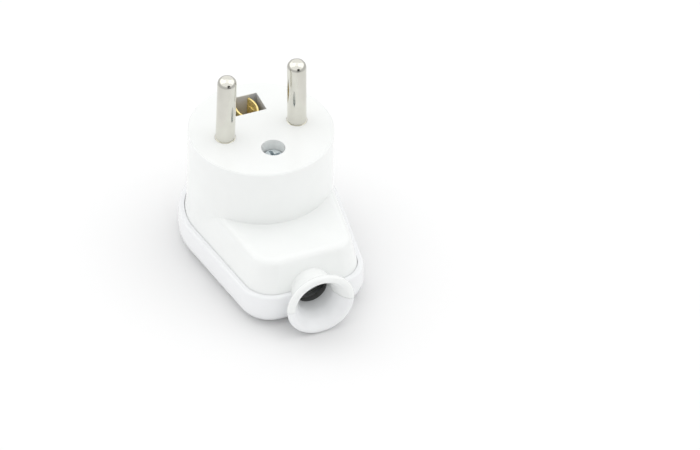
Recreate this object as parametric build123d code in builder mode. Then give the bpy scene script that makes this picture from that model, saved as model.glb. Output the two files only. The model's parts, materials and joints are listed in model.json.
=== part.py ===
"""Angled two-pin earthed mains plug, wired by hand, in millimetres.

The origin is the centre of the engagement face, where the pins come out. +Z runs along the pins,
+X towards the cable mouth, and +Y towards the live pin. The plug rests on its rear cover.
Depths are measured from the engagement face towards the rear.
"""

import os
from math import asin, atan2, cos, degrees, radians, sin, tan

from build123d import *

# Pins
pin_r = 2.4
pin_length = 18.5
pin_dome = 1.9
dome_steps = 4
pin_spacing = 19.0
pin_lean = 1.2
collar_r = 2.6
collar_below_face = 0.05
pin_hole_gap = 0.05

# Front housing
face_r = 18.1
face_bevel = 0.3
face_wall = 3.0
barrel_draft = 0.7
barrel_wall = 2.2
roof_depth = 15.5
roof_wall = 2.0
roof_edge_r = 2.2
roof_edge_steps = 4
skirt_draft = 12.0
skirt_wall = 2.0
skirt_step = 0.35
skirt_front_x = 33.45
skirt_corner_r = 7.1
side_angle = 9.0
foot_height = 1.2

# Rear cover
lip_depth = 24.4
lip_rear_growth = 1.95
lip_front_growth = 1.65
lip_corner_growth = 1.5
cover_draft = 3.0
cover_edge_r = 4.4
cover_edge_steps = 4
cover_floor = 2.2
lip_edge_r = 0.6
lip_edge_steps = 3
lip_gap = 0.1
ledge_width = 1.2

# Cable mouth
mouth_below_lip = 0.45
mouth_seam = 0.12
throat_r = 4.2
throat_length = 0.8
throat_relief = 0.5
neck_r = 5.4
rim_r = 8.8
rim_reach = 7.45
flare_reach = 6.6
neck_reach = 6.7
rim_round = 1.0
rim_steps = 5
flare_steps = 3

# Cover screw, its nut and its retaining ring
screw_x = 8.0
recess_r = 3.0
head_below_face = 2.4
screw_r = 1.5
screw_head_r = 2.7
screw_head_height = 2.0
screw_head_bevel = 0.6
cross_width = 3.6
cross_depth = 1.2
cross_taper = 12.0
screw_past_nut = 1.4
screw_hole_gap = 0.2
thread_gap = 0.05
post_r = 4.5
nut_flats = 5.5
nut_height = 2.4
nut_gap = 0.1
nut_boss_r = 5.0
ring_r = 3.2
ring_thickness = 1.0
ring_gap = 0.15

# Line terminals
terminal_depth = 14.0
terminal_x = 8.0
terminal_y = 7.4
terminal_height = 9.0
terminal_roof = 2.0
wire_window_width = 4.2
wire_window_height = 3.2
tower_r = 4.3
guide_gap = 0.2
guide_wall = 1.2
guide_length = 5.0
guide_below_seat = 5.0
wire_plate_thickness = 0.8
wire_plate_gap = 0.1

# Terminal screws
terminal_head_r = 2.5
terminal_head_height = 1.8
slot_width = 0.8
slot_depth = 0.9

# Earth contact
earth_x = -9.95
well_x = 6.9
well_y = 8.2
well_wall = 1.2
well_depth = 15.5
sleeve_r = 2.4
leaf_thickness = 0.45
leaf_wrap = 68.0
leaf_side_gap = 0.15
leaf_top_depth = 0.8
leaf_lead_length = 2.2
leaf_lead_r = 6.3
leaf_bend_depth = 13.0
leaf_tab_width = 4.6
leaf_tab_length = 3.5
earth_block_x = 8.6
earth_block_height = 8.7
earth_window_width = 3.2
earth_window_height = 2.2
earth_terminal_roof = 3.9
rivet_r = 1.0
rivet_head_r = 1.7
rivet_head_height = 0.6
rivet_below_well = 1.8

# Cord clamp
clamp_setback = 6.5
clamp_length = 5.0
clamp_grip_r = 3.8
clamp_thickness = 1.4
clamp_flange = 1.8
clamp_half_width = 10.4
clamp_seat_rise = 2.95
clamp_screw_y = 8.5
clamp_screw_bite = 3.0
clamp_boss_r = 2.7
clamp_head_r = 2.4
clamp_head_height = 1.8

# Ribs of the cover that hold the terminals up
rib_thickness = 1.2
rib_width = 5.0
terminal_rib_x = 3.2

# A moulded post or rib is carried this far into the wall that it stands on
root = 0.5

# Sizes that follow from those above
skirt_rear_r = face_r + lip_depth * tan(radians(barrel_draft)) + skirt_step
cover_rear_r = skirt_rear_r + lip_rear_growth
cover_front_x = skirt_front_x + lip_front_growth
cover_corner_r = skirt_corner_r + lip_corner_growth
rim_x = skirt_front_x + rim_reach
throat_end_x = rim_x - flare_reach
neck_end_x = rim_x - neck_reach
clamp_x = skirt_front_x - clamp_setback
mouth_depth = lip_depth + mouth_below_lip
back_depth = mouth_depth + rim_r
clamp_seat_depth = mouth_depth - clamp_seat_rise
leaf_tab_end_depth = well_depth + leaf_tab_length
earth_window_depth = well_depth + earth_terminal_roof
rivet_depth = well_depth + rivet_below_well

# Depths and planes that several pieces share
foot_depth = lip_depth + foot_height
floor_depth = back_depth - cover_floor
seat_depth = head_below_face + screw_head_height
nut_seat_depth = foot_depth + nut_height
terminal_bottom = terminal_depth + terminal_height
earth_bottom = well_depth + earth_block_height
leaf_edge_x = well_x / 2 - leaf_side_gap
leaf_lead_half = degrees(asin(leaf_edge_x / (leaf_lead_r + leaf_thickness)))
leaf_edge_y = sleeve_r - leaf_lead_r * (1 - cos(radians(leaf_lead_half)))
lip_plane = Plane.XY.offset(-lip_depth)
foot_plane = Plane.XY.offset(-foot_depth)
floor_plane = Plane.XY.offset(-floor_depth)
back_plane = Plane.XY.offset(-back_depth)
mouth_plane = Plane.XY.offset(-mouth_depth)
mouth_axis = Axis((0, 0, -mouth_depth), (1, 0, 0))


def barrel_radius(depth):
    """Outer radius of the drafted barrel at a depth."""
    return face_r + depth * tan(radians(barrel_draft))


def pin_plane(side):
    """Plane across one pin at the face: the pins lean towards each other at their tips."""
    lean = radians(pin_lean)
    return Plane(
        origin=(0, side * pin_spacing / 2, 0),
        x_dir=(1, 0, 0),
        z_dir=(0, -side * sin(lean), cos(lean)),
    )


def along(plane):
    """Plane that holds the axis of another plane, which is its local Y."""
    return Plane(origin=plane.origin, x_dir=plane.x_dir, z_dir=-plane.y_dir)


def plan_outline(plane, rear_r, front_x, corner_r):
    """Round rear, two converging sides and a straight front with round corners."""
    slope = radians(side_angle)
    halfway = (radians(90) - slope) / 2
    corner_x = front_x - corner_r
    corner_y = (corner_r - rear_r + corner_x * sin(slope)) / cos(slope)
    rear_mid = (-rear_r * sin(halfway), -rear_r * cos(halfway))
    rear_end = (rear_r * sin(slope), -rear_r * cos(slope))
    side_end = (corner_x + corner_r * sin(slope), corner_y - corner_r * cos(slope))
    corner_mid = (corner_x + corner_r * cos(halfway), corner_y - corner_r * sin(halfway))
    front_end = (front_x, corner_y)
    with BuildSketch(plane) as outline:
        with BuildLine():
            ThreePointArc((-rear_r, 0), rear_mid, rear_end)
            Line(rear_end, side_end)
            ThreePointArc(side_end, corner_mid, front_end)
            Line(front_end, (front_x, 0))
            mirror(about=Plane.XZ)
        make_face()
    return outline.sketch


def skirt_outline(plane, growth=0.0):
    """The skirt's outline at its foot, or a parallel outline."""
    return plan_outline(
        plane, skirt_rear_r + growth, skirt_front_x + growth, skirt_corner_r + growth
    )


def arc_points(centre, radius, start_turn, end_turn, steps):
    """Points on an arc, from one turn in degrees to another: its short runs keep the facets few."""
    turns = [radians(start_turn + (end_turn - start_turn) * step / steps) for step in range(steps + 1)]
    return [(centre[0] + radius * cos(turn), centre[1] + radius * sin(turn)) for turn in turns]


def arc_reach(centre_x, centre_r, start_x, start_r, rounding):
    """Radius of the arc that leaves a cylinder smoothly and meets the rim's rounding.

    A positive rounding is met from the void side, and a negative one from the outside.
    """
    run = centre_x - start_x
    rise = centre_r - start_r
    return (run**2 + rise**2 - rounding**2) / (2 * (rise - rounding))


def skirt_layers():
    """Inset, depth, rise and taper of each layer of the skirt: its sides, then its round upper edge."""
    draft = radians(skirt_draft)
    height = lip_depth - roof_depth
    centre_inset = height * tan(draft) + roof_edge_r * (1 - sin(draft)) / cos(draft)
    centre = (centre_inset, roof_depth + roof_edge_r)
    edge = arc_points(centre, roof_edge_r, 180 + skirt_draft, 270, roof_edge_steps)
    lower = (0, lip_depth)
    layers = []
    for upper in edge:
        rise = lower[1] - upper[1]
        layers.append((lower[0], lower[1], rise, degrees(atan2(upper[0] - lower[0], rise))))
        lower = upper
    return layers


def cover_layers():
    """Inset, depth, rise and taper of each layer of the cover: round lip, sides and round lower edge."""
    draft = radians(cover_draft)
    slant = tan(draft)
    lip_centre = (
        (back_depth - lip_depth - lip_edge_r) * slant + lip_edge_r / cos(draft),
        lip_depth + lip_edge_r,
    )
    edge_centre = (cover_edge_r * (1 + sin(draft)) / cos(draft), back_depth - cover_edge_r)
    lip = arc_points(lip_centre, lip_edge_r, 270, 180 + cover_draft, lip_edge_steps)
    edge = arc_points(edge_centre, cover_edge_r, 180 + cover_draft, 90, cover_edge_steps)
    upper = lip[0]
    layers = []
    for lower in lip[1:] + edge:
        rise = lower[1] - upper[1]
        layers.append((lower[0], lower[1], rise, degrees(atan2(upper[0] - lower[0], rise))))
        upper = lower
    return layers


def mouth_profiles():
    """Half sections of the trumpet: the whole outer form, and the passage inside it."""
    inner_x = throat_end_x - throat_length
    neck_root_x = skirt_front_x - skirt_wall
    way_in_x = neck_root_x - skirt_wall
    rim_centre = (rim_x - rim_round, rim_r - rim_round)
    flare_r = arc_reach(*rim_centre, throat_end_x, throat_r, rim_round)
    outer_r = arc_reach(*rim_centre, neck_end_x, neck_r, -rim_round)
    flare_turn = degrees(asin((rim_centre[0] - throat_end_x) / (flare_r - rim_round))) - 90
    outer_turn = degrees(asin((rim_centre[0] - neck_end_x) / (outer_r + rim_round))) - 90
    flare_centre = (throat_end_x, throat_r + flare_r)
    outer_centre = (neck_end_x, neck_r + outer_r)
    flare = arc_points(flare_centre, flare_r, -90, flare_turn, flare_steps)
    outer = arc_points(outer_centre, outer_r, -90, outer_turn, flare_steps)
    rim = arc_points(rim_centre, rim_round, outer_turn + 180, flare_turn, rim_steps)
    past_rim = rim_x + root
    with BuildSketch(mouth_plane) as body:
        with BuildLine():
            Line((neck_root_x, 0), (neck_root_x, neck_r))
            Line((neck_root_x, neck_r), (neck_end_x, neck_r))
            Polyline(*outer)
            Polyline(*rim)
            Line(flare[-1], (flare[-1][0], 0))
            Line((flare[-1][0], 0), (neck_root_x, 0))
        make_face()
    with BuildSketch(mouth_plane) as passage:
        with BuildLine():
            Polyline(
                (way_in_x, 0),
                (way_in_x, throat_r + throat_relief),
                (inner_x, throat_r + throat_relief),
                (inner_x, throat_r),
                (throat_end_x, throat_r),
            )
            Polyline(*flare)
            Line(flare[-1], (past_rim, flare[-1][1]))
            Line((past_rim, flare[-1][1]), (past_rim, 0))
            Line((past_rim, 0), (way_in_x, 0))
        make_face()
    return body.sketch, passage.sketch


def save(piece, name):
    """Label a finished piece and write it."""
    piece.label = name
    export_step(piece, f"parts/{name}.step")


os.makedirs("parts", exist_ok=True)
mouth_body, mouth_passage = mouth_profiles()
sides = {"live": 1, "neutral": -1}
pin_planes = [pin_plane(side) for side in sides.values()]
clamp_screw_places = [(clamp_x, clamp_screw_y), (clamp_x, -clamp_screw_y)]

# Front housing: face, barrel, skirt and the upper half of the cable mouth
with BuildPart() as front_housing:
    for inset, depth, rise, taper in skirt_layers():
        extrude(skirt_outline(Plane.XY.offset(-depth), -inset), amount=rise, taper=taper)
    extrude(skirt_outline(lip_plane), amount=-foot_height)
    with BuildSketch(Plane.XZ):
        with BuildLine():
            Polyline(
                (0, 0),
                (face_r - face_bevel, 0),
                (barrel_radius(face_bevel), -face_bevel),
                (barrel_radius(lip_depth), -lip_depth),
                (0, -lip_depth),
                close=True,
            )
        make_face()
    revolve(axis=Axis.Z)

    # Hollow of the barrel and of the skirt
    with BuildSketch(foot_plane):
        Circle(barrel_radius(foot_depth) - barrel_wall)
    extrude(amount=foot_depth - face_wall, mode=Mode.SUBTRACT)
    hollow = foot_depth - roof_depth - roof_wall
    extrude(
        skirt_outline(foot_plane, -skirt_wall), amount=hollow, taper=skirt_draft, mode=Mode.SUBTRACT
    )

    # Upper half of the cable mouth, over room for the lower half
    revolve(mouth_body, axis=mouth_axis, revolution_arc=-180, mode=Mode.SUBTRACT)
    revolve(mouth_body, axis=mouth_axis, revolution_arc=180)
    revolve(mouth_passage, axis=mouth_axis, mode=Mode.SUBTRACT)
    with BuildSketch(mouth_plane):
        with Locations((cover_front_x, 0)):
            Rectangle(rim_x, 3 * rim_r, align=(Align.MIN, Align.CENTER))
    extrude(amount=mouth_seam, mode=Mode.SUBTRACT)

    # Towers round the pins, whose ends seat the terminals, and the guides beside the terminals
    for plane in pin_planes:
        with BuildSketch(plane.offset(-terminal_depth)):
            Circle(tower_r)
        extrude(amount=terminal_depth - face_wall + root)
        guide_y = (terminal_y + guide_wall) / 2 + guide_gap
        with BuildSketch(plane.offset(-terminal_depth - guide_below_seat)):
            with Locations((0, guide_y), (0, -guide_y)):
                Rectangle(guide_length, guide_wall)
        extrude(amount=guide_below_seat + terminal_depth - face_wall + root)
        with BuildSketch(plane.offset(-terminal_depth)):
            Rectangle(terminal_x, terminal_y + 2 * guide_gap)
        extrude(amount=-guide_below_seat, mode=Mode.SUBTRACT)
        with BuildSketch(plane.offset(root)):
            Circle(collar_r + pin_hole_gap)
        extrude(amount=-terminal_depth - 2 * root, mode=Mode.SUBTRACT)

    # Well of the earth contact
    with BuildSketch(Plane.XY.offset(-well_depth)):
        with Locations((earth_x, 0)):
            Rectangle(well_x + 2 * well_wall, well_y + 2 * well_wall)
    extrude(amount=well_depth - face_wall + root)
    with BuildSketch(Plane.XY):
        with Locations((earth_x, 0)):
            Rectangle(well_x, well_y)
    extrude(amount=-well_depth, mode=Mode.SUBTRACT)

    # Post of the cover screw, with the recess for its head and the seat of its ring
    with BuildSketch(foot_plane):
        with Locations((screw_x, 0)):
            Circle(post_r)
    extrude(amount=foot_depth - face_wall + root)
    with Locations((screw_x, 0, 0)):
        CounterBoreHole(screw_r + screw_hole_gap, recess_r, seat_depth, depth=foot_depth)
    with BuildSketch(foot_plane):
        with Locations((screw_x, 0)):
            Circle(ring_r + ring_gap)
    extrude(amount=ring_thickness, mode=Mode.SUBTRACT)

    # Saddle over the cord and the bosses of the clamp screws
    with BuildSketch(Plane.XY.offset(-clamp_seat_depth)):
        with Locations((clamp_x, 0)):
            Rectangle(clamp_length, 2 * (clamp_grip_r + clamp_thickness))
        with Locations(*clamp_screw_places):
            Circle(clamp_boss_r)
    extrude(amount=clamp_seat_depth - roof_depth - roof_wall + root)
    with BuildSketch(Plane.YZ.offset(clamp_x - clamp_length / 2)):
        with Locations((0, -mouth_depth)):
            Circle(clamp_grip_r)
    extrude(amount=clamp_length, mode=Mode.SUBTRACT)
    with BuildSketch(Plane.XY.offset(-clamp_seat_depth)):
        with Locations(*clamp_screw_places):
            Circle(screw_r + thread_gap)
    extrude(amount=clamp_screw_bite, mode=Mode.SUBTRACT)
front_housing.part.label = "front_housing"
export_step(front_housing.part, "parts/front_housing.step")

# Rear cover: a tray whose lip surrounds the foot of the skirt
with BuildPart() as rear_cover:
    for inset, depth, rise, taper in cover_layers():
        extrude(
            plan_outline(
                Plane.XY.offset(-depth),
                cover_rear_r - inset,
                cover_front_x - inset,
                cover_corner_r - inset,
            ),
            amount=rise,
            taper=taper,
        )
    extrude(skirt_outline(foot_plane, lip_gap), amount=foot_height, mode=Mode.SUBTRACT)
    extrude(
        skirt_outline(floor_plane, -ledge_width), amount=floor_depth - foot_depth, mode=Mode.SUBTRACT
    )

    # Lower half of the cable mouth
    revolve(mouth_body, axis=mouth_axis, revolution_arc=-180)
    revolve(mouth_body, axis=mouth_axis, revolution_arc=180, mode=Mode.SUBTRACT)
    revolve(mouth_passage, axis=mouth_axis, mode=Mode.SUBTRACT)

    # Boss of the captive nut
    with BuildSketch(floor_plane.offset(-root)):
        with Locations((screw_x, 0)):
            Circle(nut_boss_r)
    extrude(amount=floor_depth + root - foot_depth)
    with BuildSketch(foot_plane):
        with Locations((screw_x, 0)):
            RegularPolygon(nut_flats / 2 + nut_gap, 6, major_radius=False)
    extrude(amount=-nut_height, mode=Mode.SUBTRACT)
    with BuildSketch(foot_plane):
        with Locations((screw_x, 0)):
            Circle(screw_r + screw_hole_gap)
    extrude(amount=-nut_height - screw_past_nut - root, mode=Mode.SUBTRACT)

    # Ribs under the three terminals
    for plane in pin_planes:
        with BuildSketch(plane.offset(-terminal_bottom)):
            with Locations((terminal_rib_x, 0), (-terminal_rib_x, 0)):
                Rectangle(rib_thickness, rib_width)
        extrude(amount=-(floor_depth - terminal_bottom + root))
    with BuildSketch(Plane.XY.offset(-earth_bottom)):
        with Locations((earth_x + terminal_rib_x, 0), (earth_x - terminal_rib_x, 0)):
            Rectangle(rib_thickness, rib_width)
    extrude(amount=-(floor_depth - earth_bottom + root))
rear_cover.part.label = "rear_cover"
export_step(rear_cover.part, "parts/rear_cover.step")

# Pins, each turned and milled from one bar, with its terminal behind the face
for name, side in sides.items():
    plane = pin_plane(side)
    shoulder = pin_length - pin_dome
    window_depth = terminal_depth + terminal_roof
    with BuildPart() as pin:
        with BuildSketch(along(plane)):
            with BuildLine():
                Line((0, -terminal_depth), (collar_r, -terminal_depth))
                Line((collar_r, -terminal_depth), (collar_r, -collar_below_face))
                Line((collar_r, -collar_below_face), (pin_r, -collar_below_face))
                Line((pin_r, -collar_below_face), (pin_r, shoulder))
                Polyline(*arc_points((pin_r - pin_dome, shoulder), pin_dome, 0, 90, dome_steps))
                Line((pin_r - pin_dome, pin_length), (0, pin_length))
                Line((0, pin_length), (0, -terminal_depth))
            make_face()
        revolve(axis=Axis(plane.origin, plane.z_dir))
        with BuildSketch(plane.offset(-terminal_depth)):
            Rectangle(terminal_x, terminal_y)
        extrude(amount=-terminal_height)
        with BuildSketch(plane.offset(-window_depth)):
            Rectangle(terminal_x, wire_window_width)
        extrude(amount=-wire_window_height, mode=Mode.SUBTRACT)
        with BuildSketch(plane.offset(-terminal_bottom)):
            Circle(screw_r + thread_gap)
        extrude(amount=terminal_height - terminal_roof - wire_window_height, mode=Mode.SUBTRACT)
    save(pin.part, f"{name}_pin")

    # The plate that presses on the wire lies on the tip of the screw
    window_floor = plane.offset(-window_depth - wire_window_height)
    with BuildPart() as wire_plate:
        with BuildSketch(window_floor):
            Rectangle(terminal_x - 2 * wire_plate_gap, wire_window_width - 2 * wire_plate_gap)
        extrude(amount=wire_plate_thickness)
    save(wire_plate.part, f"{name}_wire_plate")

    with BuildPart() as terminal_screw:
        with BuildSketch(plane.offset(-terminal_bottom)):
            Circle(terminal_head_r)
        extrude(amount=-terminal_head_height)
        with BuildSketch(plane.offset(-terminal_bottom)):
            Circle(screw_r)
        extrude(amount=terminal_height - terminal_roof - wire_window_height)
        with BuildSketch(plane.offset(-terminal_bottom - terminal_head_height)):
            Rectangle(2 * terminal_head_r, slot_width)
        extrude(amount=slot_depth, mode=Mode.SUBTRACT)
    save(terminal_screw.part, f"{name}_terminal_screw")

# Earth contact: two curved leaves, riveted to the sides of a terminal block
earth_plane = Plane((earth_x, 0, 0))
for name, side in {"right": 1, "left": -1}.items():
    with BuildPart() as earth_leaf:
        with BuildSketch(earth_plane.offset(-leaf_bend_depth)):
            with BuildLine():
                grip = CenterArc((0, 0), sleeve_r, side * 90 - leaf_wrap / 2, leaf_wrap)
                Line((side * leaf_edge_x, side * leaf_edge_y), grip @ 0)
                Line(grip @ 1, (-side * leaf_edge_x, side * leaf_edge_y))
                offset(amount=leaf_thickness, side=Side.RIGHT)
            make_face()
        extrude(amount=leaf_bend_depth - leaf_top_depth - leaf_lead_length)

        # Its upper end opens into a wider curve that leads the earth pin in
        with BuildSketch(earth_plane.offset(-leaf_top_depth)):
            with BuildLine():
                CenterArc(
                    (0, side * (sleeve_r - leaf_lead_r)),
                    leaf_lead_r,
                    side * 90 - leaf_lead_half,
                    2 * leaf_lead_half,
                )
                offset(amount=leaf_thickness, side=Side.RIGHT)
            make_face()
        extrude(amount=-leaf_lead_length)
        with BuildSketch(earth_plane.offset(-leaf_tab_end_depth)):
            with Locations((0, side * (sleeve_r + leaf_thickness / 2))):
                Rectangle(leaf_tab_width, leaf_thickness)
        extrude(amount=leaf_tab_end_depth - leaf_bend_depth + root)
        with BuildSketch(Plane.XZ.offset(-side * sleeve_r)):
            with Locations((earth_x, -rivet_depth)):
                Circle(rivet_r)
        extrude(amount=-side * leaf_thickness, mode=Mode.SUBTRACT)
    save(earth_leaf.part, f"earth_leaf_{name}")

with BuildPart() as earth_terminal_block:
    with BuildSketch(earth_plane.offset(-well_depth)):
        Rectangle(earth_block_x, 2 * sleeve_r)
    extrude(amount=-earth_block_height)
    with BuildSketch(earth_plane.offset(-earth_window_depth)):
        Rectangle(earth_block_x, earth_window_width)
    extrude(amount=-earth_window_height, mode=Mode.SUBTRACT)
    with BuildSketch(earth_plane.offset(-earth_bottom)):
        Circle(screw_r + thread_gap)
    extrude(amount=earth_bottom - earth_window_depth - earth_window_height, mode=Mode.SUBTRACT)
    with BuildSketch(Plane.XZ.offset(-sleeve_r)):
        with Locations((earth_x, -rivet_depth)):
            Circle(rivet_r)
    extrude(amount=2 * sleeve_r, mode=Mode.SUBTRACT)
earth_terminal_block.part.label = "earth_terminal_block"
export_step(earth_terminal_block.part, "parts/earth_terminal_block.step")

with BuildPart() as earth_rivet:
    rivet_half = sleeve_r + leaf_thickness
    with BuildSketch(Plane.XZ.offset(-rivet_half)):
        with Locations((earth_x, -rivet_depth)):
            Circle(rivet_r)
    extrude(amount=2 * rivet_half)
    with BuildSketch(Plane.XZ.offset(rivet_half), Plane.XZ.offset(-rivet_half - rivet_head_height)):
        with Locations((earth_x, -rivet_depth)):
            Circle(rivet_head_r)
    extrude(amount=rivet_head_height)
earth_rivet.part.label = "earth_rivet"
export_step(earth_rivet.part, "parts/earth_rivet.step")

with BuildPart() as earth_wire_plate:
    with BuildSketch(earth_plane.offset(-earth_window_depth - earth_window_height)):
        Rectangle(earth_block_x - 2 * wire_plate_gap, earth_window_width - 2 * wire_plate_gap)
    extrude(amount=wire_plate_thickness)
earth_wire_plate.part.label = "earth_wire_plate"
export_step(earth_wire_plate.part, "parts/earth_wire_plate.step")

with BuildPart() as earth_terminal_screw:
    with BuildSketch(earth_plane.offset(-earth_bottom)):
        Circle(terminal_head_r)
    extrude(amount=-terminal_head_height)
    with BuildSketch(earth_plane.offset(-earth_bottom)):
        Circle(screw_r)
    extrude(amount=earth_bottom - earth_window_depth - earth_window_height)
    with BuildSketch(earth_plane.offset(-earth_bottom - terminal_head_height)):
        Rectangle(2 * terminal_head_r, slot_width)
    extrude(amount=slot_depth, mode=Mode.SUBTRACT)
earth_terminal_screw.part.label = "earth_terminal_screw"
export_step(earth_terminal_screw.part, "parts/earth_terminal_screw.step")

# Cover screw, with a cross recess in its head
with BuildPart() as cover_screw:
    with BuildSketch(Plane.XY.offset(-seat_depth)):
        with Locations((screw_x, 0)):
            Circle(screw_head_r)
    extrude(amount=screw_head_height)
    chamfer(cover_screw.edges().filter_by(GeomType.CIRCLE).sort_by(Axis.Z)[-1], screw_head_bevel)
    with BuildSketch(Plane.XY.offset(-seat_depth)):
        with Locations((screw_x, 0)):
            Circle(screw_r)
    extrude(amount=-(nut_seat_depth + screw_past_nut - seat_depth))
    with BuildSketch(Plane.XY.offset(-head_below_face)):
        with Locations((screw_x, 0)):
            Rectangle(cross_width, slot_width)
            Rectangle(slot_width, cross_width)
    extrude(amount=-cross_depth, taper=cross_taper, mode=Mode.SUBTRACT)
cover_screw.part.label = "cover_screw"
export_step(cover_screw.part, "parts/cover_screw.step")

with BuildPart() as cover_nut:
    with BuildSketch(foot_plane):
        with Locations((screw_x, 0)):
            RegularPolygon(nut_flats / 2, 6, major_radius=False)
            Circle(screw_r + thread_gap, mode=Mode.SUBTRACT)
    extrude(amount=-nut_height)
cover_nut.part.label = "cover_nut"
export_step(cover_nut.part, "parts/cover_nut.step")

with BuildPart() as screw_retainer:
    with BuildSketch(foot_plane):
        with Locations((screw_x, 0)):
            Circle(ring_r)
            Circle(screw_r + thread_gap, mode=Mode.SUBTRACT)
    extrude(amount=ring_thickness)
screw_retainer.part.label = "screw_retainer"
export_step(screw_retainer.part, "parts/screw_retainer.step")

# Cord clamp: a bridge under the cord, held by two screws from the rear
with BuildPart() as cord_clamp:
    grip_outer = clamp_grip_r + clamp_thickness
    with BuildSketch(Plane.YZ.offset(clamp_x - clamp_length / 2)):
        with Locations((0, -mouth_depth)):
            Circle(grip_outer)
        with Locations((0, -clamp_seat_depth)):
            Rectangle(2 * grip_outer, mouth_depth - clamp_seat_depth, align=(Align.CENTER, Align.MAX))
            Rectangle(2 * clamp_half_width, clamp_flange, align=(Align.CENTER, Align.MAX))
            Rectangle(
                2 * clamp_half_width,
                clamp_half_width,
                align=(Align.CENTER, Align.MIN),
                mode=Mode.SUBTRACT,
            )
        with Locations((0, -mouth_depth)):
            Circle(clamp_grip_r, mode=Mode.SUBTRACT)
            Rectangle(
                2 * clamp_grip_r,
                clamp_half_width,
                align=(Align.CENTER, Align.MIN),
                mode=Mode.SUBTRACT,
            )
    extrude(amount=clamp_length)
    with BuildSketch(Plane.XY.offset(-clamp_seat_depth)):
        with Locations(*clamp_screw_places):
            Circle(screw_r + screw_hole_gap)
    extrude(amount=-clamp_flange, mode=Mode.SUBTRACT)
cord_clamp.part.label = "cord_clamp"
export_step(cord_clamp.part, "parts/cord_clamp.step")

clamp_head_plane = Plane.XY.offset(-clamp_seat_depth - clamp_flange)
for name, place in zip(("right", "left"), clamp_screw_places):
    with BuildPart() as clamp_screw:
        with BuildSketch(clamp_head_plane):
            with Locations(place):
                Circle(clamp_head_r)
        extrude(amount=-clamp_head_height)
        with BuildSketch(clamp_head_plane):
            with Locations(place):
                Circle(screw_r)
        extrude(amount=clamp_flange + clamp_screw_bite)
        with BuildSketch(clamp_head_plane.offset(-clamp_head_height)):
            with Locations(place):
                Rectangle(2 * clamp_head_r, slot_width)
        extrude(amount=slot_depth, mode=Mode.SUBTRACT)
    save(clamp_screw.part, f"clamp_screw_{name}")
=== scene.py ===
"""Looks of the angled mains plug: materials, smooth shading, floor, light and camera.

Everything is in metres, in the same frame as the CAD model: the origin is the centre of the
engagement face, +Z runs along the pins, +X towards the cable mouth and +Y towards the live pin.
"""

import json
from math import cos, pi, radians, sin

import bmesh
import bpy
from mathutils import Matrix, Vector


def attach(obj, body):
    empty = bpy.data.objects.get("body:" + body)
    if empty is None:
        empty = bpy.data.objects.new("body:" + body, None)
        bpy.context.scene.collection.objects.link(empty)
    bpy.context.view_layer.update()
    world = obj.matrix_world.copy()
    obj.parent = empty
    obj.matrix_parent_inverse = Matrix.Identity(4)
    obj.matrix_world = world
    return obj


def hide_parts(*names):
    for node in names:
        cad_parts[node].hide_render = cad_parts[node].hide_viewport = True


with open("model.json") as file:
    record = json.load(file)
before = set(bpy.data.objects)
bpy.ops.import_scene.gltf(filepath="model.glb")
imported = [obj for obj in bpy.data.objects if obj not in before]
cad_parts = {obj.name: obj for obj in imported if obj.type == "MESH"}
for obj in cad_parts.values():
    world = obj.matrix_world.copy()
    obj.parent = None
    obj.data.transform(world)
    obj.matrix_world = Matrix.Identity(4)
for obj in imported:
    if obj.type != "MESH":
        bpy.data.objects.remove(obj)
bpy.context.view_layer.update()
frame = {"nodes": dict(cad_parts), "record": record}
nodes = frame["nodes"]
slots = {sub["node"]: sub["material_slot"] for sub in frame["record"]["subparts"]}
mounts = {mount["name"]: mount for mount in frame["record"]["mounts"]}

# Camera, as fitted to the photo: angles in degrees, the picture and the origin's place in it in
# pixels, and the sensor in millimetres
PHOTO_WIDTH, PHOTO_HEIGHT = 700, 450
ORIGIN_U, ORIGIN_V = 261.09, 128.25
PIXELS_PER_METRE = 4060
CAMERA_AZIMUTH, CAMERA_ELEVATION, CAMERA_ROLL = 66.13, 40.47, 1.84
CAMERA_DISTANCE = 1.2
CAMERA_NEAR = 0.01
FOCAL_PIXELS = PIXELS_PER_METRE * CAMERA_DISTANCE
SENSOR_MM = 36.0

# Floor, with the shade that gathers under the plug: deepest where a share of SHADE_FULL or less
# of the space over a point is open, within SHADE_REACH of it
FLOOR_Z = mounts["rear_face"]["pos_m"][2]
FLOOR_REACH = 3.0
FLOOR_WHITE = 0.96
FLOOR_ROUGHNESS = 0.9
SHADE_WHITE = 0.8
SHADE_FULL = 0.3
SHADE_REACH = 0.032
SHADE_SAMPLES = 12

# Painted reflection: the floor as only gloss sees it darkens away from the point below the
# origin, and a dark patch lies beyond the cable mouth
FAR_WHITE = 0.6
FAR_START, FAR_END = 0.045, 0.13
PATCH_WHITE = 0.02
PATCH_PLACE = (0.26, 0.0, 0.0)
PATCH_INNER, PATCH_OUTER = 0.09, 0.11

# World: an even level for matt surfaces, and for gloss a tent that grows lighter between two
# heights of a ray's direction, with a dark gap low on the mouth's side, its radii in degrees
WORLD_LEVEL = 0.85
TENT_LOW, TENT_HIGH = 0.6, 1.1
TENT_START, TENT_END = 0.05, 0.3
GAP_LEVEL = 0.02
GAP_DIRECTION = (0.97, -0.02, 0.24)
GAP_INNER, GAP_OUTER = 14.0, 19.0

# Lamps, with their power in watts: one on each side of the camera's line, above the plug and a
# little behind it, and one overhead
LAMP_TARGET = (0, 0, -0.02)
LAMPS = {
    "left_lamp": {"place": (-0.59, -0.72, 1.0), "width": 1.5, "power": 2.9},
    "right_lamp": {"place": (0.13, 0.92, 1.0), "width": 1.5, "power": 2.9},
    "overhead": {"place": (-0.25, 0.1, 1.4), "width": 1.4, "power": 1.6},
}

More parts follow.
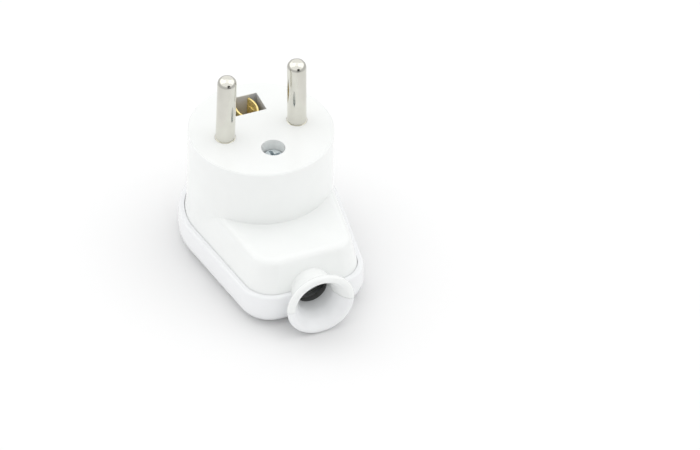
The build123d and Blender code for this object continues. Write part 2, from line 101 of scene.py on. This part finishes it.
# Texture of plastic and metal: features about 1 / scale wide, and the depth of the relief
MOTTLE = {"scale": 180.0, "detail": 4.0}
GLOSS = {"scale": 420.0, "detail": 4.0}
SKIN = {"scale": 5200.0, "detail": 2.0}
STAIN = {"scale": 260.0, "detail": 4.0}
MARKS = {"scale": 900.0, "detail": 3.0}
SKIN_DEPTH, MARKS_DEPTH = 0.00003, 0.00002
EDGE_SAMPLES = 6
PLASTIC_IOR = 1.5

# Painted shade in the plastics' colour, in hollows where little light reaches: the way in behind
# the cable mouth's throat, and the earth socket's well. Each is a round space along one axis,
# which starts a little behind its opening and runs back from there
MM = 0.001
throat = mounts["cable_entry"]
SHADED_HOLLOWS = {
    "throat": {
        "along": "X",
        "across": (0, 1, 1),
        "centre": (0, 0, throat["pos_m"][2]),
        "radius": 0.0051,
        "opening": throat["pos_m"][0] - throat["dims"]["length_mm"] * MM / 2,
        "behind": 0.00005,
        "length": 0.012,
        "colour": (0.2, 0.2, 0.2),
    },
    "well": {
        "along": "Z",
        "across": (1, 1, 0),
        "centre": (mounts["earth_socket"]["pos_m"][0], 0, 0),
        "radius": 0.0056,
        "opening": mounts["engagement_face"]["pos_m"][2],
        "behind": 0.0002,
        "length": 0.0155,
        "colour": (0.62, 0.63, 0.66),
    },
}

# Shading: turns of the surface, in degrees, from which an edge looks sharp, and the distances
# up to which points are one and an edge has no length
MOULDED_TURN, METAL_TURN = 42, 26
SAME_POINT, NO_LENGTH = 1e-7, 1e-8


def placed(name, data):
    """A new object in the scene."""
    made = bpy.data.objects.new(name, data)
    bpy.context.scene.collection.objects.link(made)
    return made


def rgba(value):
    """A full colour, from three values or from one grey value."""
    return (*value, 1) if isinstance(value, tuple) else (value, value, value, 1)


def shader_node(tree, kind, inputs, **settings):
    """A new node, with each of its inputs set to a value or linked to a socket."""
    made = tree.nodes.new("ShaderNode" + kind)
    for name, value in settings.items():
        setattr(made, name, value)
    for key, value in inputs.items():
        if isinstance(value, bpy.types.NodeSocket):
            tree.links.new(value, made.inputs[key])
        else:
            made.inputs[key].default_value = value
    return made


def calculated(tree, operation, *values):
    """The number that an operation makes of other numbers."""
    return shader_node(tree, "Math", dict(enumerate(values)), operation=operation).outputs[0]


def measured(tree, operation, place, other):
    """The number that an operation makes of two vectors, such as their distance."""
    made = shader_node(tree, "VectorMath", {0: place, 1: other}, operation=operation)
    return made.outputs["Value"]


def ranged(tree, value, low, high, to_low=0.0, to_high=1.0):
    """A number brought from one range to another, and kept inside it."""
    limits = {"From Min": low, "From Max": high, "To Min": to_low, "To Max": to_high}
    return shader_node(tree, "MapRange", {"Value": value, **limits}).outputs["Result"]


def mixed(tree, factor, first, second, data_type="RGBA"):
    """From the first to the second of two colours, or of two numbers with data_type FLOAT."""
    ends = {"Factor": factor, "A": first, "B": second}
    return shader_node(tree, "Mix", ends, data_type=data_type).outputs["Result"]


def ramp(tree, factor, low, high, start=0.35, end=0.65):
    """Colour ramp between two colours or two grey values."""
    made = shader_node(tree, "ValToRGB", {"Fac": factor})
    ends = zip(made.color_ramp.elements, (start, end), (low, high))
    for element, position, value in ends:
        element.position = position
        element.color = rgba(value)
    return made.outputs["Color"]


def noise(tree, place, scale, detail, stretch=None):
    """Noise with its features about 1 / scale wide, finer along the axes that stretch raises."""
    if stretch:
        place = shader_node(tree, "Mapping", {"Vector": place, "Scale": stretch}).outputs[0]
    values = {"Vector": place, "Scale": scale, "Detail": detail}
    return shader_node(tree, "TexNoise", values).outputs["Fac"]


def relief(tree, shader, height, depth, strength, edge):
    """Bump of a depth, over edges that look rounded by a radius where one is given."""
    bump = shader_node(tree, "Bump", {"Height": height, "Distance": depth, "Strength": strength})
    if edge:
        rounding = shader_node(tree, "Bevel", {"Radius": edge}, samples=EDGE_SAMPLES)
        tree.links.new(rounding.outputs["Normal"], bump.inputs["Normal"])
    tree.links.new(bump.outputs["Normal"], shader.inputs["Normal"])


def painted_hollow_shade(tree, place, paint, along, across, centre, radius, opening, behind, length, colour):
    """The paint, with painted shade in a round space that runs back from behind its opening."""
    depth = shader_node(tree, "SeparateXYZ", {0: place}).outputs[along]
    middle = opening - behind - length / 2
    inside = calculated(tree, "COMPARE", depth, middle, length / 2)
    flat = shader_node(tree, "VectorMath", {0: place, 1: across}, operation="MULTIPLY")
    off_axis = measured(tree, "DISTANCE", flat.outputs[0], centre)
    near = calculated(tree, "LESS_THAN", off_axis, radius)
    return mixed(tree, calculated(tree, "MULTIPLY", inside, near), paint, rgba(colour))


def material(name, base, roughness, metallic=0.0):
    """A new material, its node tree, its shader and a coordinate output in metres."""
    made = bpy.data.materials.new(name)
    made.use_nodes = True
    tree = made.node_tree
    shader = tree.nodes["Principled BSDF"]
    shader.inputs["Base Color"].default_value = rgba(base)
    shader.inputs["Roughness"].default_value = roughness
    shader.inputs["Metallic"].default_value = metallic
    place = shader_node(tree, "TexCoord", {}).outputs["Object"]
    return made, tree, shader, place


def plastic(name, low, high, rough_low, rough_high, grain, edge=0.0):
    """Moulded plastic: a faint mottle and painted shade in its colour, uneven gloss and a fine
    skin.
    """
    made, tree, shader, place = material(name, high, rough_low)
    paint = ramp(tree, noise(tree, place, **MOTTLE), low, high)
    # Painted shade: the hollows behind the throat and in the earth well get their darker colours
    for space in SHADED_HOLLOWS.values():
        paint = painted_hollow_shade(tree, place, paint, **space)
    gloss = ramp(tree, noise(tree, place, **GLOSS), rough_low, rough_high)
    tree.links.new(paint, shader.inputs["Base Color"])
    tree.links.new(gloss, shader.inputs["Roughness"])
    relief(tree, shader, noise(tree, place, **SKIN), SKIN_DEPTH, grain, edge)
    shader.inputs["IOR"].default_value = PLASTIC_IOR
    return made


def metal(name, low, high, rough_low, rough_high, stretch, grain, edge=0.0, metallic=1.0):
    """Metal with a faint stain, and tool marks that show in its gloss and relief."""
    made, tree, shader, place = material(name, high, rough_low, metallic)
    stain = ramp(tree, noise(tree, place, **STAIN), low, high)
    marks = noise(tree, place, **MARKS, stretch=stretch)
    tree.links.new(stain, shader.inputs["Base Color"])
    tree.links.new(ramp(tree, marks, rough_low, rough_high), shader.inputs["Roughness"])
    relief(tree, shader, marks, MARKS_DEPTH, grain, edge)
    return made


# The finish of each material slot, which each CAD node takes from its slot
finishes = {
    "housing_white": plastic(
        "housing_plastic",
        low=(0.915, 0.93, 0.92),
        high=(0.925, 0.94, 0.93),
        rough_low=0.13,
        rough_high=0.2,
        grain=0.02,
    ),
    "cover_white": plastic(
        "cover_plastic",
        low=(0.905, 0.915, 0.925),
        high=(0.915, 0.925, 0.935),
        rough_low=0.11,
        rough_high=0.17,
        grain=0.015,
    ),
    "nickel_plate": metal(
        "nickel_plate",
        low=(0.69, 0.68, 0.62),
        high=(0.74, 0.73, 0.67),
        rough_low=0.07,
        rough_high=0.13,
        stretch=(9, 9, 1),
        grain=0.02,
    ),
    "brass": metal(
        "leaf_brass",
        low=(0.95, 0.74, 0.26),
        high=(1.0, 0.86, 0.4),
        rough_low=0.22,
        rough_high=0.34,
        stretch=(8, 8, 1),
        grain=0.05,
        edge=0.0001,
        metallic=0.6,
    ),
    "zinc_steel": metal(
        "zinc_steel",
        low=(0.66, 0.72, 0.74),
        high=(0.76, 0.81, 0.83),
        rough_low=0.26,
        rough_high=0.38,
        stretch=(6, 6, 6),
        grain=0.06,
        edge=0.0001,
    ),
    "clamp_plastic": plastic(
        "clamp_plastic",
        low=(0.045, 0.05, 0.05),
        high=(0.065, 0.07, 0.07),
        rough_low=0.4,
        rough_high=0.55,
        grain=0.2,
        edge=0.0002,
    ),
    "fibre_ring": plastic(
        "red_fibre",
        low=(0.3, 0.1, 0.06),
        high=(0.42, 0.17, 0.1),
        rough_low=0.6,
        rough_high=0.8,
        grain=0.6,
    ),
}
for node_name, node in nodes.items():
    node.data.materials.clear()
    node.data.materials.append(finishes[slots[node_name]])


def smooth(mesh, angle):
    """Smooth shading, with sharp edges where two faces turn by an angle in degrees or more."""
    form = bmesh.new()
    form.from_mesh(mesh)
    bmesh.ops.remove_doubles(form, verts=form.verts, dist=SAME_POINT)
    bmesh.ops.dissolve_degenerate(form, edges=form.edges, dist=NO_LENGTH)
    for edge in form.edges:
        turn = edge.calc_face_angle(pi) if len(edge.link_faces) == 2 else pi
        edge.smooth = turn < radians(angle)
    for face in form.faces:
        face.smooth = True
    form.to_mesh(mesh)
    form.free()


def dressed(node_name, piece_name, angle):
    """Adds a smooth-shaded copy of a CAD node, which stands for it."""
    mesh = nodes[node_name].data.copy()
    mesh.name = piece_name
    if "custom_normal" in mesh.attributes:
        mesh.attributes.remove(mesh.attributes["custom_normal"])
    smooth(mesh, angle)
    piece = placed(piece_name, mesh)
    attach(piece, "root")
    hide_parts(node_name)
    weights = piece.modifiers.new("weighted_normal", "WEIGHTED_NORMAL")
    weights.mode = "FACE_AREA"
    weights.keep_sharp = True


# The pieces that show, over their CAD nodes
dressed("front_housing", "housing_shell", MOULDED_TURN)
dressed("rear_cover", "cover_shell", MOULDED_TURN)
dressed("live_pin", "live_pin_turned", METAL_TURN)
dressed("neutral_pin", "neutral_pin_turned", METAL_TURN)
dressed("cover_screw", "cover_screw_turned", METAL_TURN)
dressed("earth_leaf_left", "leaf_left_bent", METAL_TURN)
dressed("earth_leaf_right", "leaf_right_bent", METAL_TURN)


def floor_paint():
    """White with painted shade under the plug, and painted reflections: darker places that only
    gloss sees.
    """
    made, tree, shader, place = material("floor_paint", FLOOR_WHITE, FLOOR_ROUGHNESS)
    shader.inputs["Specular IOR Level"].default_value = 0.0
    shade = shader_node(
        tree, "AmbientOcclusion", {"Distance": SHADE_REACH}, samples=SHADE_SAMPLES
    )
    paint = ramp(tree, shade.outputs["AO"], SHADE_WHITE, FLOOR_WHITE, SHADE_FULL, 1.0)
    in_gloss = shader_node(tree, "LightPath", {}).outputs["Is Glossy Ray"]
    # Painted reflection: for gloss only, the floor darkens far from the plug and in a patch
    painted_reflection_darks = (
        ((0, 0, 0), FAR_START, FAR_END, FAR_WHITE),
        (PATCH_PLACE, PATCH_OUTER, PATCH_INNER, PATCH_WHITE),
    )
    for centre, start, end, white in painted_reflection_darks:
        share = ranged(tree, measured(tree, "DISTANCE", place, centre), start, end)
        paint = mixed(tree, calculated(tree, "MULTIPLY", share, in_gloss), paint, rgba(white))
    tree.links.new(paint, shader.inputs["Base Color"])
    return made


def floor_sheet():
    """Floor and backdrop in one flat sheet."""
    mesh = bpy.data.meshes.new("floor")
    form = bmesh.new()
    bmesh.ops.create_grid(form, x_segments=1, y_segments=1, size=FLOOR_REACH)
    form.to_mesh(mesh)
    form.free()
    mesh.materials.append(floor_paint())
    floor = placed("floor", mesh)
    floor.location.z = FLOOR_Z
    return floor


def studio():
    """The world: white for the camera, even for matt surfaces, and a pierced tent for gloss."""
    world = bpy.data.worlds.new("studio")
    world.use_nodes = True
    tree = world.node_tree
    path = shader_node(tree, "LightPath", {})
    direction = shader_node(tree, "TexCoord", {}).outputs["Generated"]
    height = shader_node(tree, "SeparateXYZ", {0: direction}).outputs["Z"]
    tent = ranged(tree, height, TENT_START, TENT_END, TENT_LOW, TENT_HIGH)
    outer, inner = cos(radians(GAP_OUTER)), cos(radians(GAP_INNER))
    nearness = measured(tree, "DOT_PRODUCT", direction, GAP_DIRECTION)
    gap = ranged(tree, nearness, outer, inner, 1.0, GAP_LEVEL)
    pierced = calculated(tree, "MULTIPLY", tent, gap)
    level = mixed(tree, path.outputs["Is Glossy Ray"], WORLD_LEVEL, pierced, "FLOAT")
    seen = mixed(tree, path.outputs["Is Camera Ray"], level, 1.0, "FLOAT")
    background = tree.nodes["Background"]
    background.inputs["Color"].default_value = rgba(1.0)
    tree.links.new(seen, background.inputs["Strength"])
    return world


def softbox(name, place, width, power):
    """A square lamp that faces the plug."""
    data = bpy.data.lights.new(name, "AREA")
    data.shape = "RECTANGLE"
    data.size = data.size_y = width
    data.energy = power
    lamp = placed(name, data)
    lamp.location = place
    facing = Vector(LAMP_TARGET) - Vector(place)
    lamp.rotation_euler = facing.to_track_quat("-Z", "Y").to_euler()


def fitted_camera():
    """The photo's camera, set so that the origin lies at its place in the picture."""
    azimuth, elevation, roll = map(radians, (CAMERA_AZIMUTH, CAMERA_ELEVATION, CAMERA_ROLL))
    back = Vector((sin(azimuth) * cos(elevation), -cos(azimuth) * cos(elevation), sin(elevation)))
    right = Vector((cos(azimuth), sin(azimuth), 0))
    up = back.cross(right)
    right, up = right * cos(roll) + up * sin(roll), up * cos(roll) - right * sin(roll)
    across = (ORIGIN_U - PHOTO_WIDTH / 2) / FOCAL_PIXELS
    upward = (PHOTO_HEIGHT / 2 - ORIGIN_V) / FOCAL_PIXELS
    to_origin = Vector((across, upward, -1)).normalized() * CAMERA_DISTANCE
    turned = Matrix((right, up, back)).transposed()
    data = bpy.data.cameras.new("camera")
    data.sensor_width = SENSOR_MM
    data.sensor_fit = "HORIZONTAL"
    data.lens = FOCAL_PIXELS * SENSOR_MM / PHOTO_WIDTH
    data.clip_start = CAMERA_NEAR
    camera = placed("camera", data)
    camera.matrix_world = Matrix.Translation(-(turned @ to_origin)) @ turned.to_4x4()
    return camera


# Floor, light and camera
floor = floor_sheet()
bpy.context.scene.world = studio()
for lamp_name, lamp in LAMPS.items():
    softbox(lamp_name, **lamp)
bpy.context.scene.camera = fitted_camera()
bpy.context.scene.view_settings.view_transform = "Standard"
